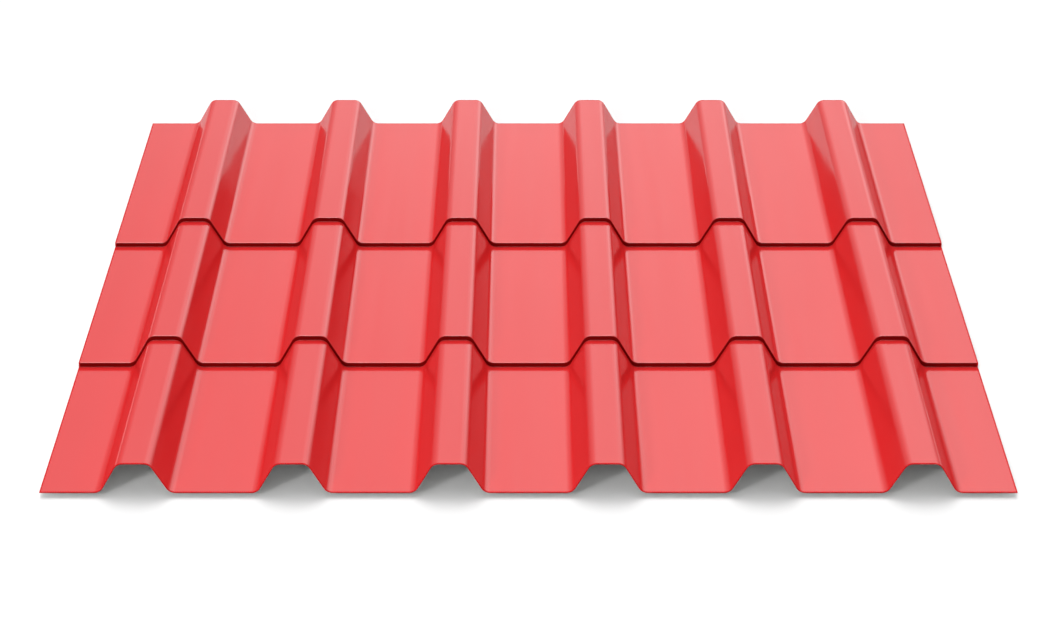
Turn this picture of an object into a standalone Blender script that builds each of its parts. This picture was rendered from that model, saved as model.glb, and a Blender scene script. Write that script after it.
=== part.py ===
# Tile effect metal roofing sheet: one coated steel sheet with lengthwise ribs, pressed into
# steps across its width so that it looks like courses of tiles.
# Metres. X runs across the ribs, Y from the eave edge to the head edge, Z up.

import math

import bmesh
import bpy
from mathutils import Matrix, Vector

# Ribs. Widths and heights are taken to the sharp corners of the middle of the sheet's thickness
RIB_COUNT = 6
RIB_PITCH = 0.180
RIB_HEIGHT = 0.0375
CROWN_WIDTH = 0.037
WEB_RUN = 0.0215
RIB_INSIDE_RADIUS = 0.011

# Plain margin, from the centre of the outer rib to the side edge
SIDE_MARGIN = 0.109

# Courses of tiles. Each one falls by the step's height from its nose to the foot of the next step
EAVE_COURSE = 0.320
TILE_COURSE = 0.350
TILE_COURSES = 1
HEAD_COURSE = 0.430
STEP_HEIGHT = 0.006
STEP_INSIDE_RADIUS = 0.0007

# Thickness of the sheet with its coats
GAUGE = 0.001

# Facets in each bend
RIB_BEND_FACETS = 4
STEP_BEND_FACETS = 3

# Where the smooth shading breaks, in degrees: at the sheet's cut edges
CUT_EDGE_ANGLE = 50

COAT_COLOUR = (0.78, 0.03, 0.033, 1.0)
COAT_ROUGHNESS = 0.28


def clear_scene():
    for obj in list(bpy.data.objects):
        bpy.data.objects.remove(obj, do_unlink=True)


def left_of(direction):
    return Vector((-direction.y, direction.x))


def bend(corner, before, after, radius, facets, shift):
    """One rounded corner of a line, shifted to its left along the same centre."""
    turn = math.copysign(1, before.cross(after))
    angle = before.angle(after)
    room = (left_of(before) + left_of(after)) * turn
    centre = corner + room * radius / (2 * math.cos(angle / 2) ** 2)
    spoke = left_of(before) * (shift - turn * radius)
    return [centre + Matrix.Rotation(turn * angle * k / facets, 2) @ spoke for k in range(facets + 1)]


def formed_line(corners, radius, facets, shift):
    """The line through the corners with each one rounded, shifted to its left. Its ends are cut upright."""
    runs = [(after - before).normalized() for before, after in zip(corners, corners[1:])]
    points = [corners[0] + Vector((0, shift / runs[0].x))]
    for corner, before, after in zip(corners[1:-1], runs, runs[1:]):
        points += bend(corner, before, after, radius, facets, shift)
    points.append(corners[-1] + Vector((0, shift / runs[-1].x)))
    return points


def rib_corners():
    """The section across the ribs, from the left side edge to the right."""
    last = (RIB_COUNT - 1) / 2
    half_crown = CROWN_WIDTH / 2
    half_base = half_crown + WEB_RUN
    corners = [Vector((-last * RIB_PITCH - SIDE_MARGIN, 0))]
    for rib in range(RIB_COUNT):
        centre = (rib - last) * RIB_PITCH
        corners += [
            Vector((centre - half_base, 0)),
            Vector((centre - half_crown, RIB_HEIGHT)),
            Vector((centre + half_crown, RIB_HEIGHT)),
            Vector((centre + half_base, 0)),
        ]
    corners.append(Vector((last * RIB_PITCH + SIDE_MARGIN, 0)))
    return corners


def step_corners():
    """The section along a pan, from the eave edge to the head edge."""
    courses = [EAVE_COURSE] + [TILE_COURSE] * TILE_COURSES + [HEAD_COURSE]
    place = -sum(courses) / 2
    corners = []
    for course in courses:
        corners.append(Vector((place, STEP_HEIGHT)))
        place += course
        corners.append(Vector((place, 0)))
    return corners


def formed_sheet():
    """A flat blank with a row of cells for each run and facet, pressed to both sections at once."""
    shifts = {True: GAUGE / 2, False: -GAUGE / 2}
    rib_radius = RIB_INSIDE_RADIUS + GAUGE / 2
    step_radius = STEP_INSIDE_RADIUS + GAUGE / 2
    across = {top: formed_line(rib_corners(), rib_radius, RIB_BEND_FACETS, shifts[top]) for top in shifts}
    along = {top: formed_line(step_corners(), step_radius, STEP_BEND_FACETS, shifts[top]) for top in shifts}
    columns = len(across[True]) - 1
    rows = len(along[True]) - 1

    sheet = bmesh.new()
    bmesh.ops.create_grid(sheet, x_segments=columns, y_segments=rows, size=0.5)
    bmesh.ops.solidify(sheet, geom=sheet.faces[:], thickness=0.5)
    middle = sum(vert.co.z for vert in sheet.verts) / len(sheet.verts)
    for vert in sheet.verts:
        top = vert.co.z > middle
        rib = across[top][round((vert.co.x + 0.5) * columns)]
        step = along[top][round((vert.co.y + 0.5) * rows)]
        vert.co = (rib.x, step.x, rib.y + step.y - shifts[top])

    lowest = min(vert.co.z for vert in sheet.verts)
    bmesh.ops.translate(sheet, verts=sheet.verts[:], vec=(0, 0, -lowest))
    bmesh.ops.recalc_face_normals(sheet, faces=sheet.faces[:])
    return sheet


def coat():
    material = bpy.data.materials.new("red_coat")
    material.use_nodes = True
    shader = material.node_tree.nodes["Principled BSDF"]
    shader.inputs["Base Color"].default_value = COAT_COLOUR
    shader.inputs["Roughness"].default_value = COAT_ROUGHNESS
    shader.inputs["Metallic"].default_value = 0.0
    return material


def add_part(name, sheet, material, collection):
    mesh = bpy.data.meshes.new(name)
    sheet.to_mesh(mesh)
    sheet.free()
    mesh.materials.append(material)
    mesh.shade_smooth()
    mesh.set_sharp_from_angle(angle=math.radians(CUT_EDGE_ANGLE))
    collection.objects.link(bpy.data.objects.new(name, mesh))


def main():
    clear_scene()
    parts = bpy.data.collections.new("tile_effect_roofing_sheet")
    bpy.context.scene.collection.children.link(parts)
    add_part("roofing_sheet", formed_sheet(), coat(), parts)


main()
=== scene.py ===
# Tile effect metal roofing sheet: the formed sheet, its coats, the floor, the light and the camera.
# Metres, in the frame's axes: X across the ribs, Y from the eave edge to the head edge, Z up.

import math

import bmesh
import bpy
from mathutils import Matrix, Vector


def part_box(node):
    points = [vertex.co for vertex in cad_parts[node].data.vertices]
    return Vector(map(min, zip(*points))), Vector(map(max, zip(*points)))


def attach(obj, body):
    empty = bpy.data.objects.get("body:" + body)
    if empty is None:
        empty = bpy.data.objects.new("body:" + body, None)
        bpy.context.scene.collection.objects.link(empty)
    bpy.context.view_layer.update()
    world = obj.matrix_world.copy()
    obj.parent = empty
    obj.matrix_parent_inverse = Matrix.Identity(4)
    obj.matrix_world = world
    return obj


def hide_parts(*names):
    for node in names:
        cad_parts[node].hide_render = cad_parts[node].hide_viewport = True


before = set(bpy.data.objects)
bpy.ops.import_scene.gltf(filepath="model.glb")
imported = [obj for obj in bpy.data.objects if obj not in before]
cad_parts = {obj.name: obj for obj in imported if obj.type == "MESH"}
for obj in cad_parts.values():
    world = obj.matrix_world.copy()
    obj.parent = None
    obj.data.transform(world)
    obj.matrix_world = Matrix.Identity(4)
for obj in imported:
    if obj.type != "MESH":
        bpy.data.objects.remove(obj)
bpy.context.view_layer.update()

sheetNode = "roofing_sheet"


class Wire:
    # One socket of a node tree. Sums on it add Math nodes, and node() adds a node of any kind.
    def __init__(self, tree, socket=None):
        self.tree = tree
        self.socket = socket

    def pick(self, sockets, name):
        if isinstance(name, int):
            return sockets[name]
        return next(socket for socket in sockets if socket.enabled and socket.name == name)

    def node(self, kind, settings=None, values=None):
        made = self.tree.nodes.new(kind)
        for name, value in (settings or {}).items():
            setattr(made, name, value)
        for name, value in (values or {}).items():
            socket = self.pick(made.inputs, name)
            if isinstance(value, Wire):
                self.tree.links.new(value.socket, socket)
            else:
                socket.default_value = value
        outputs = [socket for socket in made.outputs if socket.enabled]
        return Wire(self.tree, outputs[0] if outputs else None)

    def out(self, name):  # another output of the same node
        return Wire(self.tree, self.pick(self.socket.node.outputs, name))

    def sum(self, operation, *terms):
        return self.node("ShaderNodeMath", {"operation": operation}, dict(enumerate(terms)))

    def __add__(self, other):
        return self.sum("ADD", self, other)

    def __radd__(self, other):
        return self.sum("ADD", other, self)

    def __sub__(self, other):
        return self.sum("SUBTRACT", self, other)

    def __rsub__(self, other):
        return self.sum("SUBTRACT", other, self)

    def __mul__(self, other):
        return self.sum("MULTIPLY", self, other)

    def __rmul__(self, other):
        return self.sum("MULTIPLY", other, self)

    def __truediv__(self, other):
        return self.sum("DIVIDE", self, other)

    def __rtruediv__(self, other):
        return self.sum("DIVIDE", other, self)

    def __floordiv__(self, other):
        return self.sum("FLOOR", self / other)

    def __rfloordiv__(self, other):
        return self.sum("FLOOR", other / self)

    def __mod__(self, other):
        return self.sum("FLOORED_MODULO", self, other)

    def __rmod__(self, other):
        return self.sum("FLOORED_MODULO", other, self)

    def __gt__(self, other):
        return self.sum("GREATER_THAN", self, other)

    def __lt__(self, other):
        return self.sum("LESS_THAN", self, other)


def emptyTree(owner):  # a material's or the world's tree, with its nodes cleared
    owner.use_nodes = True
    owner.node_tree.nodes.clear()
    return Wire(owner.node_tree)


def blend(net, share, first, second):  # two colours mixed, with a share of the second
    return net.node(
        "ShaderNodeMix",
        {"data_type": "RGBA"},
        {"Factor": share, "A": first, "B": second},
    )


def patchNoise(net, place, size, stretch=(1, 1, 1), detail=2):  # patches of a size in metres
    spread = net.node("ShaderNodeMapping", {}, {"Vector": place, "Scale": stretch})
    return net.node(
        "ShaderNodeTexNoise",
        {},
        {"Vector": spread, "Scale": 1 / size, "Detail": detail},
    )


def storedValue(net, name):  # a number that the pressing stored on the sheet's points
    return net.node("ShaderNodeAttribute", {"attribute_name": name}).out("Fac")


# Red top coat
redCoat = {
    "colour": (0.72, 0.024, 0.026, 1),
    "deepColour": (0.69, 0.022, 0.024, 1),
    "toneSize": 0.22,
    "riserPaintedShade": (0.20, 0.001, 0.001, 1),  # painted shade of the steps, which stand in their own shade
    "riserStart": 0.25,
    "riserEnd": 0.75,
    # less lacquer on the steps, so the painted shade there shows no reflection
    "riserShadeDull": 0.85,
    "edgeAndShadeRimColour": (0.60, 0.012, 0.014, 1),  # the sheared edges, with little coat on them, and the painted shade of the rim along the outline
    "edgeStart": 0.999,  # below this mark of the top side the cut edge begins
    "shadeRimWidth": 0.0015,  # a band of the top side along the outline, painted in the edge colour as painted shade that widens the edge line
    "roughness": 0.5,  # of the paint under the clear lacquer
    "streakSize": 0.009,
    "streakStretch": (1, 0.03, 1),
    "streakRoughness": 0.1,
    "lacquer": 0.35,
    "streakLacquer": 0.06,
    "lacquerRoughness": 0.13,
    "lacquerIor": 3.0,  # high, because the coat also mirrors what it faces
    "peelSize": 0.0035,
    "peelHeight": 0.0000025,
}


def makeRedCoat():
    look = redCoat
    material = bpy.data.materials.new("redCoat")
    net = emptyTree(material)
    place = net.node("ShaderNodeTexCoord").out("Object")
    tone = patchNoise(net, place, look["toneSize"])
    colour = blend(net, tone, look["colour"], look["deepColour"])
    mark = storedValue(net, "riser")
    riser = net.node(
        "ShaderNodeMapRange",
        {"interpolation_type": "SMOOTHSTEP"},
        {"Value": mark, "From Min": look["riserStart"], "From Max": look["riserEnd"]},
    )
    # painted shade under each nose: the steps take the dark red
    colour = blend(net, riser, colour, look["riserPaintedShade"])
    spot = net.node("ShaderNodeSeparateXYZ", {}, {"Vector": place})
    sideEdge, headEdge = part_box(sheetNode)[1][:2]
    # painted shade along the outline: a rim of the top side takes the edge colour and loses its
    # lacquer, so the thin edge reads as a wider dark line
    shadeRim = net.sum(
        "MAXIMUM",
        net.sum("ABSOLUTE", spot.out("X")) > sideEdge - look["shadeRimWidth"],
        net.sum("ABSOLUTE", spot.out("Y")) > headEdge - look["shadeRimWidth"],
    )
    # the cut edges' own colour, together with the painted shade of the rim
    cutEdgeAndShadeRim = net.sum("MAXIMUM", storedValue(net, "topSide") < look["edgeStart"], shadeRim)
    colour = blend(net, cutEdgeAndShadeRim, colour, look["edgeAndShadeRimColour"])
    streak = patchNoise(net, place, look["streakSize"], look["streakStretch"])
    roughness = look["roughness"] + look["streakRoughness"] * streak
    lacquer = look["lacquer"] + look["streakLacquer"] * streak
    # painted shade: the steps lose most of their lacquer, and the cut edges with the painted rim
    # all of it, so they show no reflection
    lacquer = lacquer * (1 - look["riserShadeDull"] * riser) * (1 - cutEdgeAndShadeRim)
    peel = patchNoise(net, place, look["peelSize"])
    bump = net.node("ShaderNodeBump", {}, {"Height": peel, "Distance": look["peelHeight"]})
    shader = net.node(
        "ShaderNodeBsdfPrincipled",
        {},
        {
            "Base Color": colour,
            "Roughness": roughness,
            "Specular IOR Level": 0,
            "Coat Weight": lacquer,
            "Coat Roughness": look["lacquerRoughness"],
            "Coat IOR": look["lacquerIor"],
            "Normal": bump,
        },
    )
    net.node("ShaderNodeOutputMaterial", {}, {"Surface": shader})
    return material


# Backing coat of the underside
backingCoat = {
    "colour": (0.88, 0.88, 0.86, 1),
    "dullColour": (0.81, 0.81, 0.80, 1),
    "toneSize": 0.08,
    "toneDetail": 4,
    "roughness": 0.42,
    "streakSize": 0.006,
    "streakStretch": (1, 0.02, 1),
    "streakRoughness": 0.12,
    "ior": 1.5,
    "topShare": 0.01,  # it lies on the faces with less of the top side's mark than this
}


def makeBackingCoat():
    look = backingCoat
    material = bpy.data.materials.new("backingCoat")
    net = emptyTree(material)
    place = net.node("ShaderNodeTexCoord").out("Object")
    tone = patchNoise(net, place, look["toneSize"], look["streakStretch"], look["toneDetail"])
    colour = blend(net, tone, look["colour"], look["dullColour"])
    streak = patchNoise(net, place, look["streakSize"], look["streakStretch"])
    roughness = look["roughness"] + look["streakRoughness"] * streak
    shader = net.node(
        "ShaderNodeBsdfPrincipled",
        {},
        {"Base Color": colour, "Roughness": roughness, "IOR": look["ior"]},
    )
    net.node("ShaderNodeOutputMaterial", {}, {"Surface": shader})
    return material


# The sheet. Its width, length and height come from the frame
sheetForm = {
    "ribs": 6,
    "ribPitch": 0.180,
    "crownWidth": 0.037,  # to the sharp corners, in the middle of the thickness
    "webRun": 0.0215,
    "ribInsideRadius": 0.011,
    "eaveCourse": 0.320,
    "tileCourse": 0.350,
    "tileCourses": 1,
    "stepHeight": 0.006,
    "stepInsideRadius": 0.0007,
    "gauge": 0.001,
    "ribFacets": 10,
    "stepFacets": 6,
    "cutEdgeAngle": 50,  # degrees
}


def ribCorners(net, size, shift):  # the section across the ribs, one point for each corner
    ribPoints = 4  # left foot, left and right corner of the crown, right foot
    edgePoints = 2
    index = net.node("GeometryNodeInputIndex")
    rib = (index - 1) // ribPoints
    corner = (index - 1) % ribPoints
    crown = (corner > 0.5) * (corner < 2.5)  # 1 on the crown, 0 at the feet
    side = (corner > 1.5) * 2 - 1  # -1 on the left, 1 on the right
    lean = net.sum("ARCTAN2", size["Rib Height"], size["Web Run"])
    outset = shift * net.sum("TANGENT", lean / 2)
    halfWidth = size["Crown Width"] / 2 + size["Web Run"] * (1 - crown) + outset
    lastRib = size["Ribs"] - 1
    across = (rib - lastRib / 2) * size["Rib Pitch"] + side * halfWidth
    leftEdge = index < 0.5
    rightEdge = index > size["Ribs"] * ribPoints + 0.5
    edge = size["Width"] / 2 * (rightEdge - leftEdge)
    across = across * (1 - leftEdge) * (1 - rightEdge) + edge
    height = size["Rib Height"] * crown + shift
    radius = size["Rib Radius"] + shift * (crown * 2 - 1)
    return size["Ribs"] * ribPoints + edgePoints, across, height, radius


def stepCorners(net, size, shift):  # the section along a pan, from the eave to the head
    coursePoints = 2  # nose and foot
    endCourses = 2  # the eave's and the head's
    index = net.node("GeometryNodeInputIndex")
    foot = index % coursePoints
    line = index // coursePoints + foot  # 0 at the eave edge, then one for each riser
    courses = size["Tile Courses"] + endCourses
    riser = (line > 0.5) * (line < courses - 0.5)
    along = size["Eave Course"] + (line - 1) * size["Tile Course"] - shift
    along = along * riser + size["Length"] * (line > courses - 0.5) - size["Length"] / 2
    height = size["Step Height"] * (1 - foot) + shift
    radius = size["Step Radius"] + shift * (1 - foot * 2)
    return courses * coursePoints, along, height, radius


def roundedLine(net, corners, facets):  # the line through the corners, with each one rounded
    count, reach, height, radius = corners
    straight = net.node("GeometryNodeCurvePrimitiveLine")
    cut = net.node(
        "GeometryNodeResampleCurve",
        {"mode": "COUNT"},
        {"Curve": straight, "Count": count},
    )
    point = net.node("ShaderNodeCombineXYZ", {}, {"X": reach, "Z": height})
    bent = net.node("GeometryNodeSetPosition", {}, {"Geometry": cut, "Position": point})
    return net.node(
        "GeometryNodeFilletCurve",
        {"mode": "POLY"},
        {"Curve": bent, "Count": facets, "Radius": radius, "Limit Radius": False},
    )


def pointOn(net, line, number):  # the place of a numbered point of a line
    place = net.node("GeometryNodeInputPosition")
    sample = net.node(
        "GeometryNodeSampleIndex",
        {"data_type": "FLOAT_VECTOR", "domain": "POINT"},
        {"Geometry": line, "Value": place, "Index": number},
    )
    return net.node("ShaderNodeSeparateXYZ", {}, {"Vector": sample})


pressSizes = [
    "Width", "Length", "Rib Height", "Rib Pitch", "Crown Width", "Web Run", "Rib Radius",
    "Eave Course", "Tile Course", "Step Height", "Step Radius", "Gauge", "Cut Edge Angle",
]
pressCounts = ["Ribs", "Tile Courses", "Rib Facets", "Step Facets"]


def pressTree(coat, backing):  # a flat blank pressed to both sections at once
    tree = bpy.data.node_groups.new("pressSheet", "GeometryNodeTree")
    for name in pressSizes:
        tree.interface.new_socket(name=name, in_out="INPUT", socket_type="NodeSocketFloat")
    for name in pressCounts:
        tree.interface.new_socket(name=name, in_out="INPUT", socket_type="NodeSocketInt")
    tree.interface.new_socket(name="Sheet", in_out="OUTPUT", socket_type="NodeSocketGeometry")
    net = Wire(tree)
    entry = net.node("NodeGroupInput")
    size = {name: entry.out(name) for name in pressSizes + pressCounts}

    half = size["Gauge"] / 2
    lanes = {}  # the two faces of the wall, each with its own sections, so that it stays even
    for side, shift in {"top": half, "under": 0 - half}.items():
        across = roundedLine(net, ribCorners(net, size, shift), size["Rib Facets"])
        along = roundedLine(net, stepCorners(net, size, shift), size["Step Facets"])
        lanes[side] = across, along, shift
    columns, rows = [
        net.node("GeometryNodeAttributeDomainSize", {"component": "CURVE"}, {"Geometry": line})
        for line in lanes["top"][:2]
    ]

    blank = net.node(
        "GeometryNodeMeshCube",
        {},
        {"Size": (1, 1, 1), "Vertices X": columns, "Vertices Y": rows, "Vertices Z": 2},
    )
    flat = net.node("GeometryNodeInputPosition")
    spot = net.node("ShaderNodeSeparateXYZ", {}, {"Vector": flat})
    column = net.sum("ROUND", (spot.out("X") + 0.5) * (columns - 1))
    row = net.sum("ROUND", (spot.out("Y") + 0.5) * (rows - 1))
    isTop = spot.out("Z") > 0
    pressed = {}
    for side, (across, along, shift) in lanes.items():
        rib = pointOn(net, across, column)
        step = pointOn(net, along, row)
        pressed[side] = {
            "X": rib.out("X"),
            "Y": step.out("X"),
            "Z": rib.out("Z") + step.out("Z") - shift,
        }
    place = {
        axis: pressed["under"][axis] + (pressed["top"][axis] - pressed["under"][axis]) * isTop
        for axis in "XYZ"
    }
    # the riser mark: 1 on the upright steps, falling to 0 through the bend at either side; the top
    # coat paints shade along it
    bendRows = size["Step Facets"] + 1
    share = (row - 1) % bendRows / size["Step Facets"]
    noseBend = (row - 1) // bendRows % 2  # the bends at a foot and at a nose take turns
    riser = share + noseBend - 2 * share * noseBend
    marked = blank
    for name, value in {"topSide": isTop, "riser": riser}.items():
        marked = net.node(
            "GeometryNodeStoreNamedAttribute",
            {"data_type": "FLOAT", "domain": "POINT"},
            {"Geometry": marked, "Name": name, "Value": value},
        )
    formed = net.node(
        "GeometryNodeSetPosition",
        {},
        {"Geometry": marked, "Position": net.node("ShaderNodeCombineXYZ", {}, place)},
    )
    lowest = net.node("GeometryNodeBoundBox", {}, {"Geometry": formed}).out("Min")
    drop = net.node("ShaderNodeSeparateXYZ", {}, {"Vector": lowest}).out("Z")
    lift = net.node("ShaderNodeCombineXYZ", {}, {"Z": 0 - drop})
    laid = net.node("GeometryNodeSetPosition", {}, {"Geometry": formed, "Offset": lift})
    bend = net.node("GeometryNodeInputMeshEdgeAngle") > size["Cut Edge Angle"]
    creased = net.node(
        "GeometryNodeSetShadeSmooth",
        {"domain": "EDGE"},
        {"Geometry": laid, "Selection": bend, "Shade Smooth": False},
    )
    realized = net.node("GeometryNodeRealizeInstances", {}, {"Geometry": creased})
    topSide = net.node(
        "GeometryNodeInputNamedAttribute",
        {"data_type": "FLOAT"},
        {"Name": "topSide"},
    )
    coated = net.node("GeometryNodeSetMaterial", {}, {"Geometry": realized, "Material": coat})
    backed = net.node(
        "GeometryNodeSetMaterial",
        {},
        {"Geometry": coated, "Selection": topSide < backingCoat["topShare"], "Material": backing},
    )
    net.node("NodeGroupOutput", {}, {"Sheet": backed})
    return tree


def makeSheet():
    form = sheetForm
    low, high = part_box(sheetNode)
    width, length, height = [b - a for a, b in zip(low, high)]
    tree = pressTree(makeRedCoat(), makeBackingCoat())
    values = {
        "Width": width,
        "Length": length,
        "Rib Height": height - form["stepHeight"] - form["gauge"],
        "Rib Pitch": form["ribPitch"],
        "Crown Width": form["crownWidth"],
        "Web Run": form["webRun"],
        "Rib Radius": form["ribInsideRadius"] + form["gauge"] / 2,
        "Eave Course": form["eaveCourse"],
        "Tile Course": form["tileCourse"],
        "Step Height": form["stepHeight"],
        "Step Radius": form["stepInsideRadius"] + form["gauge"] / 2,
        "Gauge": form["gauge"],
        "Cut Edge Angle": math.radians(form["cutEdgeAngle"]),
        "Ribs": form["ribs"],
        "Tile Courses": form["tileCourses"],
        "Rib Facets": form["ribFacets"],
        "Step Facets": form["stepFacets"],
    }
    blank = bpy.data.objects.new("sheetBlank", bpy.data.meshes.new("sheetBlank"))
    bpy.context.scene.collection.objects.link(blank)
    press = blank.modifiers.new("pressSheet", "NODES")
    press.node_group = tree
    for item in tree.interface.items_tree:
        if item.in_out == "INPUT":
            press[item.identifier] = values[item.name]
    shading = blank.modifiers.new("flatRuns", "WEIGHTED_NORMAL")  # the flats mirror as flats
    shading.keep_sharp = True
    evaluated = blank.evaluated_get(bpy.context.evaluated_depsgraph_get())
    mesh = bpy.data.meshes.new_from_object(evaluated)
    bpy.data.objects.remove(blank, do_unlink=True)
    mesh.name = "formedSheet"
    sheet = bpy.data.objects.new("formedSheet", mesh)
    bpy.context.scene.collection.objects.link(sheet)
    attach(sheet, "root")
    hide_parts(sheetNode)
    print("sheet:", len(mesh.vertices), "vertices,", len(mesh.polygons), "faces")


# Floor
studioFloor = {
    "radius": 40.0,
    "colour": (0.92, 0.92, 0.92, 1),
    "shownColour": (0.94, 0.94, 0.94, 1),  # as seen and mirrored, so that it is lit to white
    "sides": 96,
}


def seenRay(net):  # 1 for the rays that show the background, in the picture or in a reflection
    path = net.node("ShaderNodeLightPath")
    seen = path.out("Is Camera Ray") + path.out("Is Glossy Ray") + path.out("Is Transmission Ray")
    return net.sum("MINIMUM", seen, 1)


def makeFloor():
    look = studioFloor
    disc = bmesh.new()
    bmesh.ops.create_circle(disc, cap_ends=True, radius=look["radius"], segments=look["sides"])
    mesh = bpy.data.meshes.new("studioFloor")
    disc.to_mesh(mesh)
    disc.free()
    floor = bpy.data.objects.new("studioFloor", mesh)
    bpy.context.scene.collection.objects.link(floor)
    material = bpy.data.materials.new("studioFloor")
    net = emptyTree(material)
    colour = blend(net, seenRay(net), look["colour"], look["shownColour"])
    matt = net.node("ShaderNodeBsdfDiffuse", {}, {"Color": colour})
    clear = net.node("ShaderNodeBsdfTransparent")
    fromBelow = net.node("ShaderNodeNewGeometry").out("Backfacing")
    shader = net.node("ShaderNodeMixShader", {}, {0: fromBelow, 1: matt, 2: clear})
    net.node("ShaderNodeOutputMaterial", {}, {"Surface": shader})
    mesh.materials.append(material)
    print("floor: done")


# Light. A dim even sky with soft glows in it, like the large lamps of a studio
studioSky = {
    "colour": (1, 1, 1, 1),
    "even": 0.22,
    # each glow's turn to the right of the head edge, its rise and its spread, all in degrees,
    # and its strength
    "glows": {
        "highBehind": (0, 60, 18, 3.0),
        "highLeft": (-45, 62, 14, 1.6),
        "overhead": (180, 78, 14, 1.6),
        "behindRight": (12, 28, 7, 0.6),
        "low": (0, 12, 7, 2.3),
        "lowLeft": (-11, 12, 7, 0.3),
        "lowBesideRight": (11, 12, 7, 0.35),
        "lowRight": (18, 15, 5, 1.3),
        "lowestRight": (18, 6, 5, 1.8),
        "lowestLeft": (-18, 7, 6, 0.35),
    },
}
softBox = {
    "place": (-2.76, -4.78, 2.81),
    "aim": (0, 0, 0),
    "size": 0.8,
    "power": 84,
}


def makeSky():
    look = studioSky
    world = bpy.data.worlds.new("studioSky")
    bpy.context.scene.world = world
    net = emptyTree(world)
    towards = net.node("ShaderNodeTexCoord").out("Generated")
    strength = look["even"]
    for turn, rise, spread, level in look["glows"].values():
        turn, rise, spread = [math.radians(angle) for angle in (turn, rise, spread)]
        middle = (math.sin(turn) * math.cos(rise), math.cos(turn) * math.cos(rise), math.sin(rise))
        near = net.node(
            "ShaderNodeVectorMath",
            {"operation": "DOT_PRODUCT"},
            {0: towards, 1: middle},
        )
        strength = strength + level * net.sum("EXPONENT", (near - 1) / spread ** 2)
    sky = net.node("ShaderNodeBackground", {}, {"Color": look["colour"], "Strength": strength})
    net.node("ShaderNodeOutputWorld", {}, {"Surface": sky})
    print("sky: done")


def makeSoftBox():
    look = softBox
    light = bpy.data.lights.new("softBox", "AREA")
    light.shape = "DISK"
    light.size = look["size"]
    light.energy = look["power"]
    lamp = bpy.data.objects.new("softBox", light)
    lamp.location = look["place"]
    towards = Vector(look["aim"]) - lamp.location
    lamp.rotation_euler = towards.to_track_quat("-Z", "Y").to_euler()
    bpy.context.scene.collection.objects.link(lamp)
    print("soft box: done")


# Camera
photoView = {
    "aim": (0, -0.0915, 0),
    "distance": 3.6676,
    "elevation": 26.687,  # degrees above the floor
    "sensorWidth": 36.0,
    "lens": 96.93,
    "shift": 0.00057,
}


def makeCamera():
    look = photoView
    data = bpy.data.cameras.new("photoView")
    data.sensor_fit = "HORIZONTAL"
    data.sensor_width = look["sensorWidth"]
    data.lens = look["lens"]
    data.shift_x = look["shift"]
    camera = bpy.data.objects.new("photoView", data)
    tilt = math.radians(look["elevation"])
    back = Vector((0, -math.cos(tilt), math.sin(tilt)))
    camera.location = Vector(look["aim"]) + back * look["distance"]
    camera.rotation_euler = (math.pi / 2 - tilt, 0, 0)
    bpy.context.scene.collection.objects.link(camera)
    bpy.context.scene.camera = camera
    print("camera: done")


makeCamera()
makeSheet()
makeFloor()
makeSky()
makeSoftBox()
bpy.context.scene.view_settings.view_transform = "Standard"
